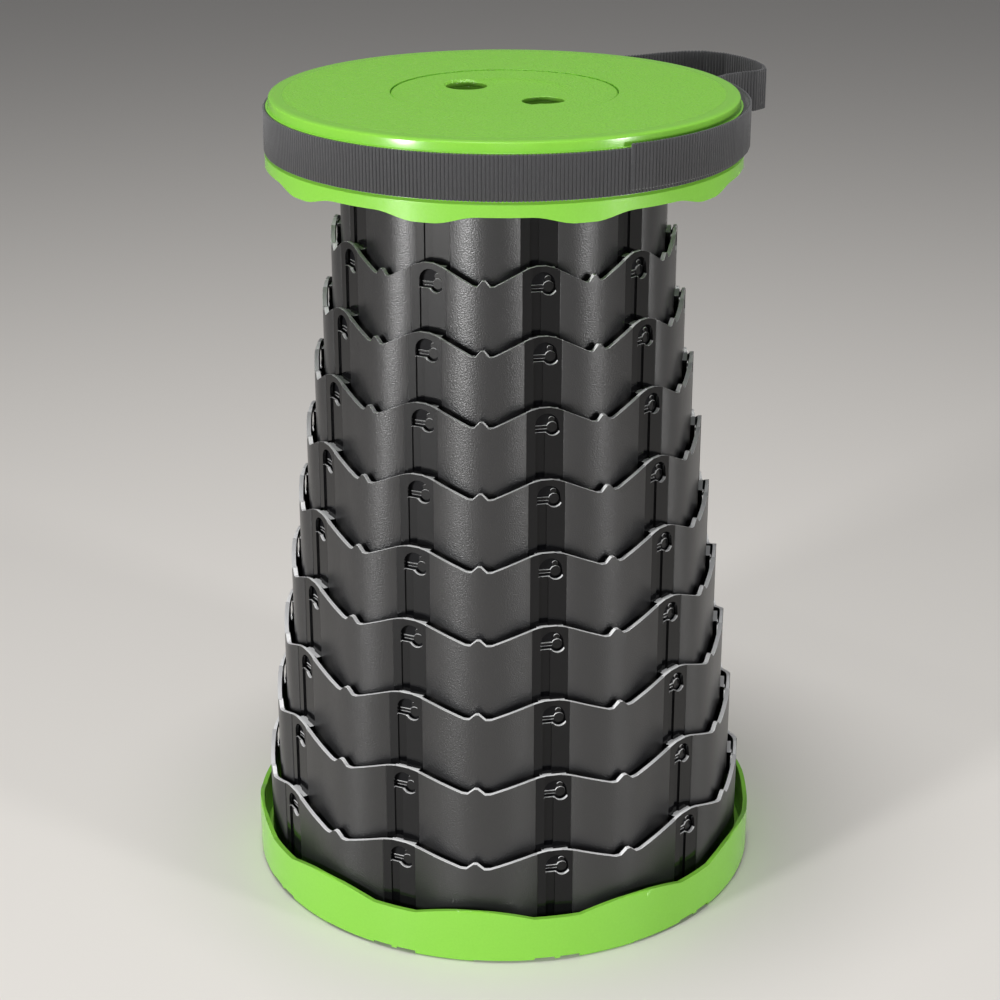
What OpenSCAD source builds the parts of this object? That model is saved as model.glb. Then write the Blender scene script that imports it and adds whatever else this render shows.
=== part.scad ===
// Telescoping camp stool: ten nested sections between a round seat and a base ring.
// Millimetres, +Z up, floor at z = 0, sections drawn fully raised.
// Azimuth is measured from the front (-Y) towards +X.

/* [Overall] */
// Height of the seat top above the floor, all sections raised
seat_height = 450; // [380:5:540]
// Radius of the flat seat top
seat_r = 125.4; // [106:0.1:151]

/* [Sections] */
// Outer radius of the innermost section
inner_r = 89; // [80:0.1:98]
// Radial step from one section to the next
tube_step = 5.6; // [4.6:0.05:6.8]
// Wall thickness of a section
tube_wall = 2.4; // [1.8:0.1:2.8]
// Length of a section that stays inside the next one when raised
overlap = 22.8; // [18:0.1:28]
// Height of the outermost section
low_h = 60.2; // [50:0.1:72]
// How much more each section shows than the one above it
growth = 1.08; // [0:0.02:1.4]
// Height difference between rim crest and rim trough
wave_depth = 10.6; // [6:0.1:12]
// Height of the small tooth in each trough
tooth_h = 3.2; // [1.5:0.1:4]
// Width of the flat column on each panel joint
column_w = 20; // [15:0.5:24]
// Width of the sunken groove below each window
groove_w = 5; // [3:0.1:6]
// Radius of the round top of a window
window_r = 6.2; // [5:0.1:7]
// Diameter of a lug
lug_d = 5.6; // [4:0.1:6.5]

/* [Seat] */
// Thickness of the seat plate
plate_t = 7; // [5:0.1:9]
// Depth of the skirt lobes below the seat top
skirt_depth = 40.6; // [35:0.1:48]
// How far the skirt edge rises between two lobes
lobe_rise = 3.8; // [2:0.1:6]
// Radius of the centre plate
centre_r = 60.8; // [50:0.1:72]
// Radius of the shallow dish in the centre plate
dish_r = 35; // [25:0.1:45]
// Radius of a finger hole
finger_r = 11.2; // [9:0.1:13]
// Distance of a finger hole from the axis
finger_at = 29; // [25:0.1:34]

/* [Webbing] */
// Width of the webbing
web_w = 23; // [19:0.5:28]
// Thickness of the webbing
web_t = 1.7; // [1.2:0.1:2.2]
// Distance of the webbing top edge below the seat top
web_drop = 5.9; // [4:0.1:8]

/* [Base] */
// Radial gap between the outer section and the outside of the base ring
base_out = 7.5; // [6:0.1:10]
// Height of the base ring at its crests
base_h = 31.9; // [25:0.1:38]
// How far the base ring edge drops at the columns
base_dip = 4.9; // [2:0.1:7]
// Depth of the shallow cut-outs under the base ring
cut_low = 1.3; // [0.6:0.1:2]
// Depth of the cut-outs under the columns
cut_high = 2.4; // [1.5:0.1:3]

/* [Hidden] */
$fn = 96;
count = 10;
turn = 360 / count;
column_az = 11.5;
floor_z = 4.4;
side_gap = 0.5;
mean_show = (seat_height - 36.6 - floor_z - low_h) / (count - 1);
outer_r = inner_r + (count - 1) * tube_step;
lug_out = tube_step - tube_wall - side_gap;
lug_up = overlap - 11.4;
lug_at = 4.2;
groove_at = -2.5;
column_sink = 0.7;
groove_sink = 1.6;
window_top = 3.2;
window_at = 1;
window_low = 13.6;
pocket_r = lug_d / 2 + 1.3;
seam = 0.3;
under_z = seat_height - plate_t;
skirt_z = seat_height - skirt_depth;
body_r = seat_r + 1.8;
skirt_r = seat_r + 3.2;
skirt_t = 3;
web_top = seat_height - web_drop;
web_low = web_top - web_w;
web_r = body_r + web_t;
plate_floor = 3;
screw_count = 5;
screw_r = 81.5;
screw_d = 4;
head_d = 8;
flange_in = 76;
base_r = outer_r + base_out;
ring_t = 3;
floor_in = inner_r - 5;
rim_groove = 1.2;
// Plan of the free loop, from the slider round to where it lies on the band again
loop_plan = [[52, 118.6], [65, 119.5], [79, 124.5], [93, 132.5], [107, 138], [119, 138.5],
    [131, 130.5], [140, 118.5], [146, 105.5], [149, 93], [149, 83], [143, 76], [134, 71.5],
    [124.5, 64.5], [119, 57], [121.5, 48.5], [126, 36.5]];
loop_top = seat_height - 3.5;

function tube_r(k) = inner_r + (k - 1) * tube_step;
function crest_z(k) = floor_z + low_h + (count - k) * (mean_show + growth * (k - 1) / 2);
function foot_z(k) = k < count ? crest_z(k + 1) - overlap : floor_z;
// Rim height, below the crest, at angle b from the middle of a trough
crest_round = 2.66;
slope = (wave_depth - 0.2 - crest_round) / 8.6;
function rim_drop(b) = b < 2 ? tooth_h - wave_depth - tooth_h * max(b - 0.4, 0) / 1.6
    : b < 3.4 ? -wave_depth + 0.2 * pow((b - 2) / 1.4, 2)
    : b < 12 ? -wave_depth + 0.2 + slope * (b - 3.4)
    : b < 16 ? -crest_round * pow((17.6 - b) / 5.6, 2)
    : 0.4;
rim_half = [0.4, 2, 2.7, 3.4, 8, 12, 13, 14, 15, 15.9, 16.3];
// Depth of the base ring's edge below its crest at angle a from a column
function base_drop(a) = a <= 5 ? base_dip
    : a < 16.5 ? base_dip * pow((18 - a) / 13, 2)
    : -0.3;
base_half = [5, 6, 7, 8.5, 10, 12, 14, 16, 17];
base_a = concat([for (i = [len(base_half) - 1 : -1 : 0]) -base_half[i]], base_half);
rim_a = concat([for (i = [len(rim_half) - 1 : -1 : 0]) -rim_half[i]], rim_half);

green = [0.49, 0.78, 0.30];
grey = [0.27, 0.27, 0.28];
web_grey = [0.33, 0.33, 0.35];

// Draws a shape given as (sideways, up) points, standing r away from the axis at azimuth az
module radial(az, r, depth) {
    rotate([0, 0, az])
        translate([0, -r, 0])
            rotate([90, 0, 0])
                linear_extrude(depth)
                    children();
}

// A round bar pointing outwards from radius r
module spoke(az, side, up, r, depth, d) {
    rotate([0, 0, az])
        translate([side, -r, up])
            rotate([90, 0, 0])
                cylinder(h = depth, d = d);
}

module block(az, x0, x1, r0, r1, z0, z1) {
    rotate([0, 0, az])
        translate([x0, -r1, z0])
            cube([x1 - x0, r1 - r0, z1 - z0]);
}

// Everything above the wavy rim of a section of radius r
module rim_cut(r, z) {
    for (i = [0 : count / 2 - 1])
        radial(column_az + (i + 0.5) * turn, -r - 4, 2 * r + 8)
            polygon(concat([for (b = rim_a) [r * sin(b), z + rim_drop(abs(b))]],
                [[r * sin(16.3), z + 12], [-r * sin(16.3), z + 12]]));
}

// Arched window with a pocket for the lug of the next section in
module window_shape(z) {
    w = window_r;
    low = z - window_low;
    mid = z - window_top - w;
    lug_z = z - overlap + lug_up;
    polygon(concat(
        [for (a = [0 : 15 : 180]) [window_at + w * cos(a), mid + w * sin(a)]],
        [[window_at - w, low], [lug_at - pocket_r, low]],
        [for (a = [210 : 15 : 330]) [lug_at + pocket_r * cos(a), lug_z + pocket_r * sin(a)]]));
}

// Flat columns with windows and grooves, cut from a section
module column_cuts(k) {
    r = tube_r(k);
    z = crest_z(k);
    for (i = [0 : count - 1]) {
        az = column_az + i * turn;
        block(az, -column_w / 2, column_w / 2, r - column_sink, r + 6, foot_z(k) - 1, z + 1);
        block(az, groove_at - groove_w / 2, groove_at + groove_w / 2, r - groove_sink, r + 6,
            foot_z(k) - 1, z - window_low + 1);
        radial(az, r - tube_wall - 3, tube_wall + 6)
            window_shape(z);
    }
}

// Lugs near the foot of a section, each on a guide pad with a knob above and two ribs beside
module lugs(k) {
    r = tube_r(k);
    z = foot_z(k) + lug_up;
    out = lug_out + tube_wall / 2;
    for (i = [0 : count - 1]) {
        az = column_az + i * turn;
        spoke(az, lug_at, z, r - tube_wall / 2, out, lug_d);
        spoke(az, lug_at - 0.2, z + lug_d / 2 + 1, r - tube_wall / 2, out - 0.4, 3.4);
        block(az, -6.4, 8, r - tube_wall + 0.4, r + lug_out - 0.9, z - 5, z + 9.2);
        block(az, -4.6, lug_at - 1.5, r, r + lug_out - 0.2, z - 0.2, z + 0.9);
        block(az, -4.6, lug_at - 1.5, r, r + lug_out - 0.4, z - 1.8, z - 1);
    }
}

module wall(k, top) {
    r = tube_r(k);
    rotate_extrude()
        translate([r - tube_wall, foot_z(k)])
            square([tube_wall, top - foot_z(k)]);
}

// A section with a wavy rim; the outermost one has no lugs
module section(k) {
    color(grey) {
        difference() {
            wall(k, crest_z(k));
            rim_cut(tube_r(k), crest_z(k));
            column_cuts(k);
        }
        if (k < count)
            lugs(k);
    }
}

module section_01() {
    r = tube_r(1);
    color(grey) {
        difference() {
            wall(1, under_z);
            for (i = [0 : count - 1]) {
                az = column_az + i * turn;
                block(az, -column_w / 2, column_w / 2, r - column_sink, r + 6, foot_z(1) - 1,
                    skirt_z + 16);
                block(az, groove_at - groove_w / 2, groove_at + groove_w / 2, r - groove_sink,
                    r + 6, foot_z(1) - 1, skirt_z + 10);
            }
        }
        lugs(1);
        difference() {
            rotate_extrude()
                translate([flange_in, under_z - 3])
                    square([r - flange_in - 1, 3]);
            for (i = [0 : screw_count - 1])
                rotate([0, 0, i * 360 / screw_count])
                    translate([0, -screw_r, under_z - 4])
                        cylinder(h = 5, d = screw_d + 0.1);
        }
    }
}

module section_02() { section(2); }
module section_03() { section(3); }
module section_04() { section(4); }
module section_05() { section(5); }
module section_06() { section(6); }
module section_07() { section(7); }
module section_08() { section(8); }
module section_09() { section(9); }
module section_10() { section(10); }

module finger_holes(r, z0, z1) {
    for (s = [-1, 1])
        rotate([0, 0, 45])
            translate([0, s * finger_at, z0])
                cylinder(h = z1 - z0, r = r);
}

module seat_cover() {
    top = seat_height;
    in_r = skirt_r - skirt_t;
    rib_low = under_z - 7;
    color(green) {
        difference() {
            rotate_extrude()
                polygon([[0, under_z], [in_r - 1, under_z], [in_r, under_z - 2],
                    [in_r, skirt_z], [skirt_r, skirt_z], [skirt_r, web_low - 1.6],
                    [body_r, web_low - 0.5], [body_r, web_top + 0.4], [seat_r + 0.4, web_top + 0.4],
                    [seat_r + 0.4, top - 1.6], [seat_r, top - 0.7], [seat_r - 1.2, top - 0.2],
                    [seat_r - 3, top], [0, top]]);
            // recess for the centre plate
            translate([0, 0, under_z + plate_floor])
                cylinder(h = plate_t, r = centre_r + seam);
            finger_holes(finger_r, under_z - 1, top + 1);
            // lobed lower edge, lowest halfway between the cuts
            for (i = [0 : count / 2 - 1])
                radial(i * turn, -skirt_r - 4, 2 * skirt_r + 8)
                    polygon(concat([for (a = [-18 : 1.5 : 18]) [skirt_r * sin(a),
                        skirt_z + lobe_rise * (abs(a) < 6 ? 1 : abs(a) > 16 ? -0.02
                        : 0.5 + 0.5 * cos((abs(a) - 6) * 18))]],
                        [[skirt_r * sin(18), skirt_z - 5], [-skirt_r * sin(18), skirt_z - 5]]));
            for (i = [0 : screw_count - 1])
                rotate([0, 0, i * 360 / screw_count])
                    translate([0, -screw_r, under_z - 1])
                        cylinder(h = 5, d = screw_d);
        }
        // stiffening ribs under the plate
        for (i = [0 : count - 1])
            block(i * turn, -1, 1, inner_r + 1.2, in_r + 0.5, rib_low, under_z + 0.5);
    }
}

module seat_centre_plate() {
    top = seat_height - 0.4;
    low = under_z + plate_floor;
    color(green)
        difference() {
            rotate_extrude()
                polygon([[0, low], [centre_r, low], [centre_r, top - 0.8], [centre_r - 0.8, top],
                    [dish_r + 3, top], [dish_r, top - 0.9], [0, top - 0.9]]);
            finger_holes(finger_r, low - 1, top + 1);
            // rounded lip of each finger hole
            for (s = [-1, 1])
                rotate([0, 0, 45])
                    translate([0, s * finger_at, top - 2])
                        cylinder(h = 2.2, r1 = finger_r - 0.6, r2 = finger_r + 1.5);
        }
}

module seat_screws() {
    color([0.62, 0.63, 0.65])
        for (i = [0 : screw_count - 1])
            rotate([0, 0, i * 360 / screw_count])
                translate([0, -screw_r, under_z - 3]) {
                    cylinder(h = 7, d = screw_d);
                    difference() {
                        translate([0, 0, -2])
                            cylinder(h = 2, d = head_d);
                        translate([-0.6, -2.4, -2.5])
                            cube([1.2, 4.8, 1.3]);
                        translate([-2.4, -0.6, -2.5])
                            cube([4.8, 1.2, 1.3]);
                    }
                }
}

module strap_band() {
    color(web_grey)
        rotate_extrude()
            translate([body_r, web_low])
                square([web_t, web_w]);
}

// Points beside a path, shifted by d to its left
function ahead(p, i) = p[min(i + 1, len(p) - 1)] - p[max(i - 1, 0)];
function beside(p, i, d) = let (t = ahead(p, i)) p[i] + d * [-t[1], t[0]] / norm(t);
loop_scale = web_r / 128.9;
// Distance from the axis of the strap's end where it lies over the band, at azimuth a
function over_r(a) = web_r + (a < 30 ? 0.75 : 1.25 + (a - 34) / 80);

module carry_loop() {
    path = concat([for (p = loop_plan) p * loop_scale],
        [for (a = [100 : -6 : 28]) over_r(a) * [sin(a), -cos(a)]]);
    ends = len(path) - 1;
    color(web_grey)
        difference() {
            translate([0, 0, loop_top - web_w])
                linear_extrude(web_w)
                    polygon(concat([for (i = [0 : ends]) beside(path, i, web_t / 2)],
                        [for (i = [ends : -1 : 0]) beside(path, i, -web_t / 2)]));
            translate([0, 0, loop_top - web_w - 1])
                cylinder(h = web_w + 2, r = web_r);
        }
}

// Three-bar slider lying on the outside of the band at the back
module strap_slider() {
    az = 163;
    half = web_w / 2;
    mid = (web_top + web_low) / 2;
    r0 = web_r;
    color([0.13, 0.13, 0.14])
        rotate([0, 0, az])
            intersection() {
                difference() {
                    translate([-13, -r0 - 3.6, mid - half - 3])
                        cube([26, 8, web_w + 6]);
                    for (x = [-9.5, 2.5])
                        translate([x, -r0 - 5, mid - half - 0.3])
                            cube([7, 12, web_w + 0.6]);
                }
                difference() {
                    translate([0, 0, mid - half - 4])
                        cylinder(h = web_w + 8, r = r0 + 2.4);
                    translate([0, 0, mid - half - 5])
                        cylinder(h = web_w + 10, r = r0);
                }
            }
}

module base_ring() {
    mid_r = base_r - ring_t;
    color(green)
        difference() {
            rotate_extrude()
                polygon([[floor_in, 2.4], [mid_r - 5, 2.4], [mid_r - 1, 0.4], [base_r - 0.6, 0.4],
                    [base_r, 1.4], [base_r, 20], [base_r - 0.3, base_h - 0.9],
                    [base_r - 1, base_h], [mid_r + 0.9, base_h], [mid_r + 0.4, base_h - 0.6],
                    [mid_r, 18], [mid_r, floor_z], [outer_r + 1.9, floor_z],
                    [outer_r + 1.7, 12], [outer_r + 0.3, 12], [outer_r, floor_z],
                    [floor_in, floor_z]]);
            for (i = [0 : count / 2 - 1])
                radial(column_az + i * turn, -base_r - 4, 2 * base_r + 8)
                    polygon(concat([for (a = base_a) [base_r * sin(a), base_h - base_drop(abs(a))]],
                        [[base_r * sin(17), base_h + 6], [-base_r * sin(17), base_h + 6]]));
            for (i = [0 : count - 1]) {
                az = column_az + i * turn;
                half = base_r * sin(5);
                side = base_r * sin(6.5);
                block(az, -half, -1.5, base_r - 12, base_r + 5, -1, cut_high);
                block(az, -1.5, 1.5, base_r - 12, base_r + 5, -1, cut_low);
                block(az, 1.5, half, base_r - 12, base_r + 5, -1, cut_high);
                block(az + 24.5, -side, side, base_r - 12, base_r + 5, -1, cut_low);
                // seat of a foot pad
                rotate([0, 0, az + 11.5])
                    translate([0, -base_r + 4.2, -1])
                        cylinder(h = 2.4, d = 5.2);
            }
        }
}

module foot_pads() {
    color([0.1, 0.1, 0.1])
        for (i = [0 : count - 1])
            rotate([0, 0, column_az + i * turn + 11.5])
                translate([0, -base_r + 4.2, 0])
                    cylinder(h = 1.4, d = 5);
}

seat_cover();
seat_centre_plate();
seat_screws();
strap_band();
carry_loop();
strap_slider();
section_01();
section_02();
section_03();
section_04();
section_05();
section_06();
section_07();
section_08();
section_09();
section_10();
base_ring();
foot_pads();
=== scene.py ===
import bpy
from math import atan2, cos, hypot, pi, radians, sin
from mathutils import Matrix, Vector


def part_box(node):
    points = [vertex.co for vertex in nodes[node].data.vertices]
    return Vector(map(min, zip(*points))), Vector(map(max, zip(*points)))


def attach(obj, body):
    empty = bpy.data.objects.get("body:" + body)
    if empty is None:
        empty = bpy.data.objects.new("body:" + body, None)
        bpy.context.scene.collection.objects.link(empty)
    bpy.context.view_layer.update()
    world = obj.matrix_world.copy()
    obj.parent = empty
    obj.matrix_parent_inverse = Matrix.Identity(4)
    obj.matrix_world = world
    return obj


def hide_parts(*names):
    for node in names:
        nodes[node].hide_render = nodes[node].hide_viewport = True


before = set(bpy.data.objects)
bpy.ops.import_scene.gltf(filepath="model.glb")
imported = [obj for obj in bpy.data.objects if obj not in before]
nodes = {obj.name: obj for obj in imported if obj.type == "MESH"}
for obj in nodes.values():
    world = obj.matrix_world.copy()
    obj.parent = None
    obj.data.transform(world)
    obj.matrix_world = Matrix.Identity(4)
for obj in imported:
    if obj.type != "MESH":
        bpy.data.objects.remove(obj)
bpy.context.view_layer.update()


# ---------------------------------------------------------------- camera, lights and floor
# A long lens looks down at the raised stool from the front, a little above the seat.
# Low strip lights at the left and right light the tube, and one overhead lights the seat.
bpy.ops.object.select_all(action="DESELECT")
bpy.ops.object.camera_add(location=(-0.0023, -1.146, 0.6743), rotation=(radians(68.14), 0, 0))
camera = bpy.context.object
camera.data.lens = 77.4
camera.data.sensor_width = 36
bpy.context.scene.camera = camera

softboxes = (
    # name, place, aims at, width, height, watts
    ("key_left", (-1.68, -1.58, 0.45), (0, 0, 0.24), 0.3, 0.5, 44),
    ("fill_right", (1.90, -1.35, 0.5), (0, 0, 0.24), 0.3, 0.5, 26),
    ("front", (0.1, -2.6, 0.5), (0, 0, 0.24), 0.6, 0.4, 1.5),
    ("overhead", (-0.1, -0.1, 2.0), (0, 0, 0.3), 0.7, 0.7, 26),
)
for name, place, aim, width, height, watts in softboxes:
    run = hypot(aim[0] - place[0], aim[1] - place[1])
    tilt = pi / 2 - atan2(place[2] - aim[2], run)
    turn = atan2(aim[1] - place[1], aim[0] - place[0]) - pi / 2
    bpy.ops.object.light_add(type="AREA", location=place, rotation=(tilt, 0, turn))
    light = bpy.context.object
    light.name = name
    light.data.shape = "RECTANGLE"
    light.data.size = width
    light.data.size_y = height
    light.data.energy = watts

world = bpy.data.worlds.new("pale_room")
world.use_nodes = True
world.node_tree.nodes["Background"].inputs["Color"].default_value = (0.86, 0.87, 0.9, 1)
world.node_tree.nodes["Background"].inputs["Strength"].default_value = 0.17
bpy.context.scene.world = world
bpy.context.scene.view_settings.view_transform = "Standard"

bpy.ops.mesh.primitive_plane_add(size=14, location=(0, 2, 0))
floor = bpy.context.object
floor.name = "studio_floor"
floor_paint = bpy.data.materials.new("floor_paint")
floor_paint.use_nodes = True
paint = floor_paint.node_tree.nodes["Principled BSDF"]
paint.inputs["Base Color"].default_value = (0.74, 0.71, 0.67, 1)
paint.inputs["Roughness"].default_value = 0.55
floor.data.materials.append(floor_paint)


# ---------------------------------------------------------------- tube sections
# Ten nested rings of dark nylon, each a size larger than the one above. Satin panels lie
# between ten smooth flat columns, which carry the windows, the grooves and the lugs.
column_start = radians(11.5)
column_step = radians(36)
column_half = 0.0098
groove_wide = 0.005
panel_crown = 10.0
first_wall = 0.089
wall_step = 0.0056


def moulded(node, edge, name):
    """A copy of a moulded part with its triangles joined and its sharp edges rounded."""
    piece = bpy.data.objects.new(name, nodes[node].data.copy())
    bpy.context.collection.objects.link(piece)
    bpy.ops.object.select_all(action="DESELECT")
    bpy.context.view_layer.objects.active = piece
    piece.select_set(True)
    piece.data.materials.clear()
    bpy.ops.object.mode_set(mode="EDIT")
    bpy.ops.mesh.select_all(action="SELECT")
    bpy.ops.mesh.remove_doubles(threshold=2e-6)
    bpy.ops.mesh.dissolve_limited(angle_limit=radians(0.4))
    bpy.ops.object.mode_set(mode="OBJECT")
    bevel = piece.modifiers.new("rounded_edges", "BEVEL")
    bevel.limit_method = "ANGLE"
    bevel.angle_limit = radians(32)
    bevel.width = edge
    bevel.segments = 2
    bpy.ops.object.modifier_apply(modifier=bevel.name)
    bpy.ops.object.shade_smooth_by_angle(angle=radians(35))
    normals = piece.modifiers.new("flat_faces", "WEIGHTED_NORMAL")
    normals.keep_sharp = True
    bpy.ops.object.modifier_apply(modifier=normals.name)
    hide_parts(node)
    return piece


nylon = bpy.data.materials.new("dark_nylon")
nylon.use_nodes = True
tree = nylon.node_tree
shader = tree.nodes["Principled BSDF"]
place = tree.nodes.new("ShaderNodeTexCoord")
axes = tree.nodes.new("ShaderNodeSeparateXYZ")
tree.links.new(place.outputs["Object"], axes.inputs[0])


def maths(tree, kind, a, b=None, c=None):
    """A maths node whose inputs are numbers or other nodes' outputs."""
    node = tree.nodes.new("ShaderNodeMath")
    node.operation = kind
    for socket, value in zip(node.inputs, (a, b, c)):
        if isinstance(value, (int, float)):
            socket.default_value = value
        elif value is not None:
            tree.links.new(value, socket)
    return node.outputs[0]


# distance of a point from the middle of the nearest column
back = maths(tree, "MULTIPLY", axes.outputs["Y"], -1.0)
bearing = maths(tree, "ARCTAN2", axes.outputs["X"], back)
from_column = maths(tree, "WRAP", maths(tree, "SUBTRACT", bearing, column_start),
                    column_step / 2, -column_step / 2)
across = maths(tree, "MULTIPLY", axes.outputs["X"], axes.outputs["X"])
out_square = maths(tree, "MULTIPLY_ADD", back, back, across)
radius = maths(tree, "SQRT", out_square)
from_middle = maths(tree, "MULTIPLY", from_column, radius)
sideways = maths(tree, "ABSOLUTE", from_middle)
on_column = maths(tree, "LESS_THAN", sideways, column_half)
# painted shade: a 5 mm strip on the left half of each column, where the groove is, is painted
# near black over the whole height of the ring, standing in for the shade inside the groove
past_left = maths(tree, "GREATER_THAN", from_middle, -groove_wide)
before_right = maths(tree, "LESS_THAN", from_middle, 0.0)
groove_shade_mask = maths(tree, "MULTIPLY", past_left, before_right)
# painted highlight: faces turned upward (rim lips, window ledges, lug tops) are painted near
# white, standing in for the light the rounded lip catches
facing = tree.nodes.new("ShaderNodeNewGeometry")
upright = tree.nodes.new("ShaderNodeSeparateXYZ")
tree.links.new(facing.outputs["Normal"], upright.inputs[0])
upward_painted_highlight_mask = tree.nodes.new("ShaderNodeMapRange")
upward_painted_highlight_mask.inputs["From Min"].default_value = 0.05
upward_painted_highlight_mask.inputs["From Max"].default_value = 0.5
tree.links.new(upright.outputs["Z"], upward_painted_highlight_mask.inputs["Value"])

grain = tree.nodes.new("ShaderNodeTexNoise")
grain.inputs["Scale"].default_value = 1500
grain.inputs["Detail"].default_value = 1
tree.links.new(place.outputs["Object"], grain.inputs["Vector"])
wear = tree.nodes.new("ShaderNodeTexNoise")
wear.inputs["Scale"].default_value = 28
wear.inputs["Detail"].default_value = 5
tree.links.new(place.outputs["Object"], wear.inputs["Vector"])

tone = tree.nodes.new("ShaderNodeMix")
tone.data_type = "RGBA"
tone.inputs["A"].default_value = (0.011, 0.011, 0.012, 1)
tone.inputs["B"].default_value = (0.006, 0.006, 0.0065, 1)
tree.links.new(on_column, tone.inputs["Factor"])
# near-black painted shade for the groove, mixed over the panel and column tone
groove_painted_shade = tree.nodes.new("ShaderNodeMix")
groove_painted_shade.data_type = "RGBA"
groove_painted_shade.inputs["B"].default_value = (0.003, 0.003, 0.0035, 1)
tree.links.new(groove_shade_mask, groove_painted_shade.inputs["Factor"])
tree.links.new(tone.outputs["Result"], groove_painted_shade.inputs["A"])
# the near-white colour mixed in here is a painted highlight on the faces that turn upward
painted_top_highlight = tree.nodes.new("ShaderNodeMix")
painted_top_highlight.data_type = "RGBA"
painted_top_highlight.inputs["B"].default_value = (0.90, 0.90, 0.90, 1)
tree.links.new(upward_painted_highlight_mask.outputs["Result"], painted_top_highlight.inputs["Factor"])
tree.links.new(groove_painted_shade.outputs["Result"], painted_top_highlight.inputs["A"])
tree.links.new(painted_top_highlight.outputs["Result"], shader.inputs["Base Color"])

panel_gloss = maths(tree, "MULTIPLY_ADD", wear.outputs["Fac"], 0.1, 0.29)
column_gloss = maths(tree, "MULTIPLY_ADD", wear.outputs["Fac"], 0.1, 0.06)
gloss = tree.nodes.new("ShaderNodeMix")
tree.links.new(on_column, gloss.inputs["Factor"])
tree.links.new(panel_gloss, gloss.inputs["A"])
tree.links.new(column_gloss, gloss.inputs["B"])
tree.links.new(gloss.outputs["Result"], shader.inputs["Roughness"])
shine = maths(tree, "MULTIPLY_ADD", on_column, -0.6, 0.85)
tree.links.new(shine, shader.inputs["Specular IOR Level"])

grain_height = maths(tree, "MULTIPLY", grain.outputs["Fac"],
                     maths(tree, "MULTIPLY_ADD", on_column, -0.92, 1.0))
bump = tree.nodes.new("ShaderNodeBump")
bump.inputs["Strength"].default_value = 1.0
bump.inputs["Distance"].default_value = 0.00016
tree.links.new(grain_height, bump.inputs["Height"])
# shading only: each panel looks more crowned than the round wall that it is
span = maths(tree, "SUBTRACT", maths(tree, "MULTIPLY", radius, column_step / 2), sideways)
crown = maths(tree, "MULTIPLY", maths(tree, "MULTIPLY", span, span), -panel_crown)
crowned = tree.nodes.new("ShaderNodeBump")
crowned.inputs["Strength"].default_value = 1.0
crowned.inputs["Distance"].default_value = 1.0
tree.links.new(maths(tree, "MULTIPLY", crown, maths(tree, "SUBTRACT", 1.0, on_column)),
               crowned.inputs["Height"])
tree.links.new(crowned.outputs["Normal"], bump.inputs["Normal"])
tree.links.new(bump.outputs["Normal"], shader.inputs["Normal"])

# painted shade: the pads behind the windows are painted matt black, standing in for the deep
# shadow inside the windows
pad_painted_shade = bpy.data.materials.new("pad_painted_shade_black")
pad_painted_shade.use_nodes = True
shader = pad_painted_shade.node_tree.nodes["Principled BSDF"]
shader.inputs["Base Color"].default_value = (0.006, 0.006, 0.007, 1)
shader.inputs["Roughness"].default_value = 0.55
shader.inputs["Specular IOR Level"].default_value = 0.1

for number in range(1, 11):
    node = f"section_{number:02d}"
    ring = moulded(node, 0.00045, f"ring_{number:02d}")
    ring.data.materials.append(nylon)
    ring.data.materials.append(pad_painted_shade)
    wall_out = first_wall + wall_step * (number - 1)
    # faces of the pads behind the windows get the painted-shade material
    for face in ring.data.polygons:
        out = hypot(face.center.x, face.center.y)
        if wall_out + 0.0010 < out < wall_out + 0.0021 and abs(face.normal.z) < 0.5:
            face.material_index = 1
    body = {1: "seat", 10: "base"}.get(number, f"tier_{number:02d}")
    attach(ring, body)


# ---------------------------------------------------------------- seat cover
# The round green cap that is sat on: grained polypropylene with a polished rim, a step for
# the webbing and a lobed skirt. One moulding.
seat_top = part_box("seat_cover")[1][2]
rim_wide = 0.0105
top_depth = 0.0018

green = bpy.data.materials.new("green_grained")
green.use_nodes = True
tree = green.node_tree
shader = tree.nodes["Principled BSDF"]
place = tree.nodes.new("ShaderNodeTexCoord")
axes = tree.nodes.new("ShaderNodeSeparateXYZ")
tree.links.new(place.outputs["Object"], axes.inputs[0])
across = maths(tree, "MULTIPLY", axes.outputs["X"], axes.outputs["X"])
radius = maths(tree, "SQRT", maths(tree, "MULTIPLY_ADD", axes.outputs["Y"],
                                   axes.outputs["Y"], across))
rim_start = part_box("seat_cover")[1][0] - rim_wide
inside_rim = maths(tree, "LESS_THAN", radius, rim_start)
on_top = maths(tree, "GREATER_THAN", axes.outputs["Z"], seat_top - top_depth)
grained = maths(tree, "MULTIPLY", inside_rim, on_top)
pebbles = tree.nodes.new("ShaderNodeTexVoronoi")
pebbles.feature = "SMOOTH_F1"
pebbles.inputs["Scale"].default_value = 620
tree.links.new(place.outputs["Object"], pebbles.inputs["Vector"])
fine = tree.nodes.new("ShaderNodeTexNoise")
fine.inputs["Scale"].default_value = 900
fine.inputs["Detail"].default_value = 3
tree.links.new(place.outputs["Object"], fine.inputs["Vector"])
height = maths(tree, "MULTIPLY", grained, maths(tree, "ADD", pebbles.outputs["Distance"],
                                                fine.outputs["Fac"]))
bump = tree.nodes.new("ShaderNodeBump")
bump.inputs["Strength"].default_value = 1.0
bump.inputs["Distance"].default_value = 0.0007
tree.links.new(height, bump.inputs["Height"])
tree.links.new(bump.outputs["Normal"], shader.inputs["Normal"])
rough = maths(tree, "MULTIPLY_ADD", grained, 0.12, 0.2)
tree.links.new(rough, shader.inputs["Roughness"])
tint = tree.nodes.new("ShaderNodeMix")
tint.data_type = "RGBA"
tint.inputs["A"].default_value = (0.205, 0.520, 0.045, 1)
tint.inputs["B"].default_value = (0.240, 0.580, 0.060, 1)
tree.links.new(fine.outputs["Fac"], tint.inputs["Factor"])
tree.links.new(tint.outputs["Result"], shader.inputs["Base Color"])
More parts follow.
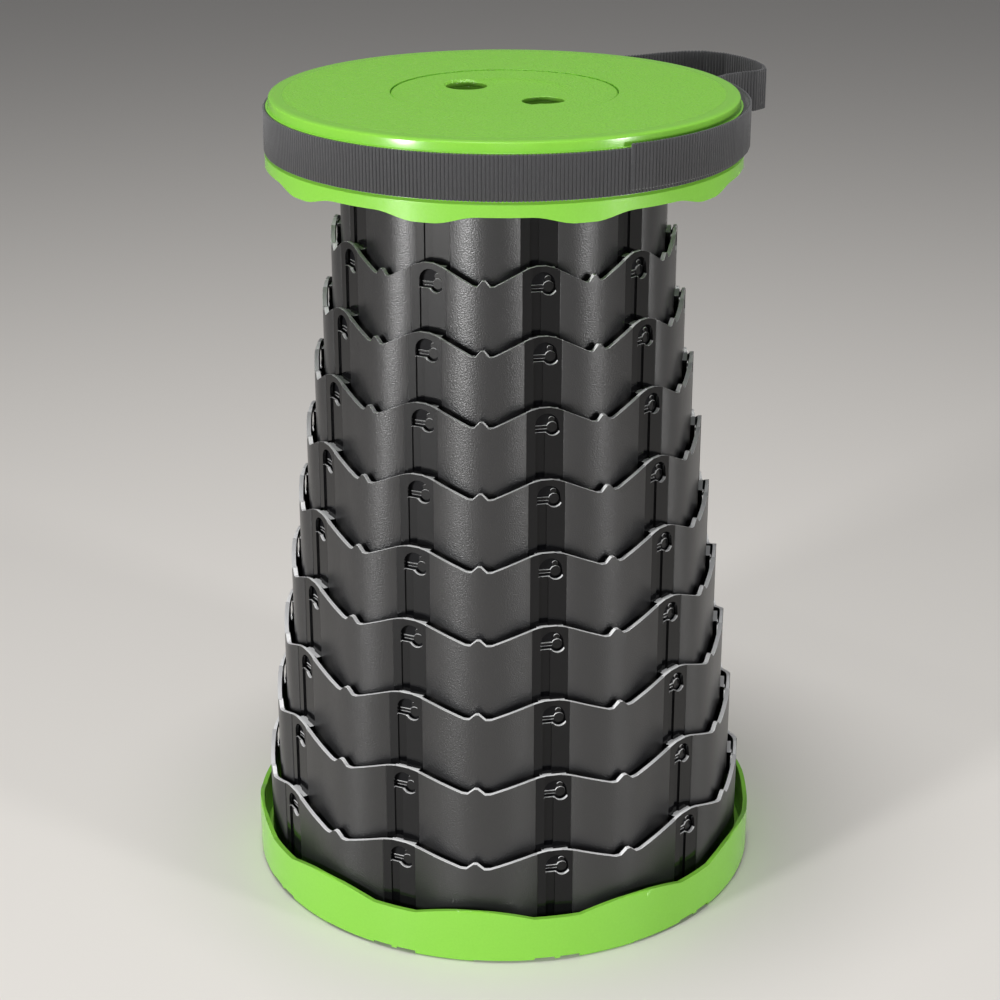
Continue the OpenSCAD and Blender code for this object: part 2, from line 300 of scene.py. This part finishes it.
shader.inputs["Subsurface Weight"].default_value = 0.08
shader.inputs["Subsurface Radius"].default_value = (0.002, 0.004, 0.001)

seat = moulded("seat_cover", 0.0006, "seat_cap")
seat.data.materials.append(green)
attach(seat, "seat")


# ---------------------------------------------------------------- centre plate
# The round insert in the middle of the seat, with a shallow dish and two finger holes.
# Same grained green plastic, pressed into its recess.
plate = moulded("seat_centre_plate", 0.0005, "finger_plate")
plate.data.materials.append(green)
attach(plate, "seat")


# ---------------------------------------------------------------- base ring
# The green ring that the largest section stands in: smooth polypropylene with a wavy upper
# edge, and cut-outs between its feet. One moulding.
base = moulded("base_ring", 0.0006, "base_hoop")
base.data.materials.append(green)
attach(base, "base")


# ---------------------------------------------------------------- webbing
# Ribbed polyester webbing, 23 mm wide: a band round the rim of the seat and a loose
# carrying loop at the back right. The ribs run across its width, 2 mm apart.
web = bpy.data.materials.new("ribbed_webbing")
web.use_nodes = True
tree = web.node_tree
shader = tree.nodes["Principled BSDF"]
place = tree.nodes.new("ShaderNodeTexCoord")
fibre = tree.nodes.new("ShaderNodeTexNoise")
fibre.inputs["Scale"].default_value = 1500
fibre.inputs["Detail"].default_value = 4
tree.links.new(place.outputs["Object"], fibre.inputs["Vector"])
tint = tree.nodes.new("ShaderNodeMix")
tint.data_type = "RGBA"
tint.inputs["A"].default_value = (0.013, 0.013, 0.015, 1)
tint.inputs["B"].default_value = (0.044, 0.044, 0.047, 1)
tree.links.new(fibre.outputs["Fac"], tint.inputs["Factor"])
tree.links.new(tint.outputs["Result"], shader.inputs["Base Color"])
bump = tree.nodes.new("ShaderNodeBump")
bump.inputs["Strength"].default_value = 0.5
bump.inputs["Distance"].default_value = 0.0002
tree.links.new(fibre.outputs["Fac"], bump.inputs["Height"])
tree.links.new(bump.outputs["Normal"], shader.inputs["Normal"])
shader.inputs["Roughness"].default_value = 0.75
shader.inputs["Sheen Weight"].default_value = 0.3

band_low, band_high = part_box("strap_band")
web_width = band_high[2] - band_low[2]
web_thick = 0.0017
band_out = band_high[0]
band_mid = band_out - web_thick / 2
rib_count = round(2 * pi * band_mid / 0.002)
rib_pitch = 2 * band_mid * sin(pi / rib_count)


def web_rib(name, pitch):
    """One rib of the webbing, standing on edge at the origin, open at its two joints."""
    bpy.ops.object.select_all(action="DESELECT")
    bpy.ops.mesh.primitive_cube_add(size=1)
    rib = bpy.context.object
    rib.name = name
    bpy.ops.object.mode_set(mode="EDIT")
    bpy.ops.mesh.select_mode(type="VERT")
    bpy.ops.mesh.select_all(action="SELECT")
    bpy.ops.transform.resize(value=(pitch, web_thick, web_width))
    bpy.ops.mesh.select_all(action="DESELECT")
    bpy.ops.object.mode_set(mode="OBJECT")
    for edge in rib.data.edges:
        a, b = (rib.data.vertices[v].co for v in edge.vertices)
        edge.select = abs(a.z - b.z) > web_width / 2
    bpy.ops.object.mode_set(mode="EDIT")
    bpy.ops.mesh.select_mode(type="EDGE")
    bpy.ops.mesh.bevel(offset=pitch * 0.27, segments=2, affect="EDGES")
    bpy.ops.mesh.select_all(action="DESELECT")
    bpy.ops.object.mode_set(mode="OBJECT")
    for face in rib.data.polygons:
        face.select = abs(face.normal.x) > 0.99
    bpy.ops.object.mode_set(mode="EDIT")
    bpy.ops.mesh.select_mode(type="FACE")
    bpy.ops.mesh.delete(type="ONLY_FACE")
    bpy.ops.object.mode_set(mode="OBJECT")
    for face in rib.data.polygons:
        face.select = abs(face.normal.z) > 0.99
    bpy.ops.object.mode_set(mode="EDIT")
    bpy.ops.mesh.inset(thickness=0.0003, depth=0.00025, use_boundary=False)
    bpy.ops.object.mode_set(mode="OBJECT")
    return rib


band = web_rib("webbing_band", rib_pitch)
bpy.ops.object.mode_set(mode="EDIT")
bpy.ops.mesh.select_all(action="SELECT")
bpy.ops.transform.translate(value=(0, -band_mid, (band_low[2] + band_high[2]) / 2))
bpy.ops.object.mode_set(mode="OBJECT")
bpy.ops.object.empty_add(rotation=(0, 0, 2 * pi / rib_count))
next_place = bpy.context.object
ring = band.modifiers.new("round_the_seat", "ARRAY")
ring.use_relative_offset = False
ring.use_object_offset = True
ring.offset_object = next_place
ring.count = rib_count
ring.use_merge_vertices = True
ring.use_merge_vertices_cap = True
ring.merge_threshold = 0.00004
bpy.ops.object.select_all(action="DESELECT")
bpy.context.view_layer.objects.active = band
band.select_set(True)
bpy.ops.object.modifier_apply(modifier=ring.name)
bpy.data.objects.remove(next_place)
bpy.ops.object.shade_smooth_by_angle(angle=radians(50))
band.data.materials.append(web)
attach(band, "seat")
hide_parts("strap_band")


# ---------------------------------------------------------------- carrying loop
# The rest of the same webbing: it leaves the band at the back, stands out in a loose loop
# at the back right, and lies over the band again round the right side, sewn at its end.
loop_low, loop_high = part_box("carry_loop")
free_part = (
    (0.052, 0.1186), (0.065, 0.1195), (0.079, 0.1245), (0.093, 0.1325), (0.107, 0.138),
    (0.119, 0.1385), (0.131, 0.1305), (0.140, 0.1185), (0.146, 0.1055), (0.149, 0.093),
    (0.149, 0.083), (0.143, 0.076), (0.134, 0.0715), (0.1245, 0.0645), (0.119, 0.057),
    (0.1215, 0.0485), (0.126, 0.0365),
)
sewn_part = []
for bearing_now in range(100, 26, -6):
    out = band_out + (0.00075 if bearing_now < 30 else 0.00125 + (bearing_now - 34) / 80000)
    sewn_part.append((out * sin(radians(bearing_now)), -out * cos(radians(bearing_now))))
loop_route = (*free_part, *sewn_part)
loop_length = sum(hypot(b[0] - a[0], b[1] - a[1])
                  for a, b in zip(loop_route, loop_route[1:]))
loop_ribs = round(loop_length / 0.002)

bpy.ops.object.select_all(action="DESELECT")
bpy.ops.curve.primitive_nurbs_path_add()
route = bpy.context.object
route.name = "loop_route"
route.data.splines.clear()
line = route.data.splines.new("POLY")
line.points.add(len(loop_route) - 1)
for point, (x, y) in zip(line.points, loop_route):
    point.co = (x, y, (loop_low[2] + loop_high[2]) / 2, 1)
route.data.twist_mode = "Z_UP"

loop = web_rib("webbing_loop", loop_length / loop_ribs)
row = loop.modifiers.new("ribs", "ARRAY")
row.use_relative_offset = False
row.use_constant_offset = True
row.constant_offset_displace = (loop_length / loop_ribs, 0, 0)
row.count = loop_ribs
row.use_merge_vertices = True
row.merge_threshold = 0.00004
bend = loop.modifiers.new("along_the_route", "CURVE")
bend.object = route
bpy.ops.object.select_all(action="DESELECT")
bpy.context.view_layer.objects.active = loop
loop.select_set(True)
bpy.ops.object.modifier_apply(modifier=row.name)
bpy.ops.object.modifier_apply(modifier=bend.name)
bpy.data.objects.remove(route)
bpy.ops.object.mode_set(mode="EDIT")
bpy.ops.mesh.select_mode(type="EDGE")
bpy.ops.mesh.select_all(action="DESELECT")
bpy.ops.mesh.select_non_manifold()
bpy.ops.mesh.fill()
bpy.ops.mesh.select_all(action="SELECT")
bpy.ops.mesh.normals_make_consistent(inside=False)
bpy.ops.object.mode_set(mode="OBJECT")
bpy.ops.object.shade_smooth_by_angle(angle=radians(50))
loop.data.materials.append(web)
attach(loop, "seat")
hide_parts("carry_loop")


# ---------------------------------------------------------------- strap adjuster
# A black acetal three-bar adjuster on the band at the back, where its two ends meet.
acetal = bpy.data.materials.new("black_acetal")
acetal.use_nodes = True
shader = acetal.node_tree.nodes["Principled BSDF"]
shader.inputs["Base Color"].default_value = (0.018, 0.018, 0.019, 1)
shader.inputs["Roughness"].default_value = 0.35
adjuster = moulded("strap_slider", 0.0004, "strap_adjuster")
adjuster.data.materials.append(acetal)
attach(adjuster, "seat")


# ---------------------------------------------------------------- screws and foot pads
# Zinc-plated pan-head screws hold the top section up into the seat. Rubber pads are
# pressed into the feet of the base ring.
zinc = bpy.data.materials.new("zinc_plate")
zinc.use_nodes = True
shader = zinc.node_tree.nodes["Principled BSDF"]
shader.inputs["Base Color"].default_value = (0.62, 0.63, 0.65, 1)
shader.inputs["Metallic"].default_value = 1
shader.inputs["Roughness"].default_value = 0.32
screws = moulded("seat_screws", 0.0003, "pan_head_screws")
screws.data.materials.append(zinc)
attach(screws, "seat")

rubber = bpy.data.materials.new("black_rubber")
rubber.use_nodes = True
shader = rubber.node_tree.nodes["Principled BSDF"]
shader.inputs["Base Color"].default_value = (0.02, 0.02, 0.02, 1)
shader.inputs["Roughness"].default_value = 0.8
pads = moulded("foot_pads", 0.0003, "rubber_feet")
pads.data.materials.append(rubber)
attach(pads, "base")
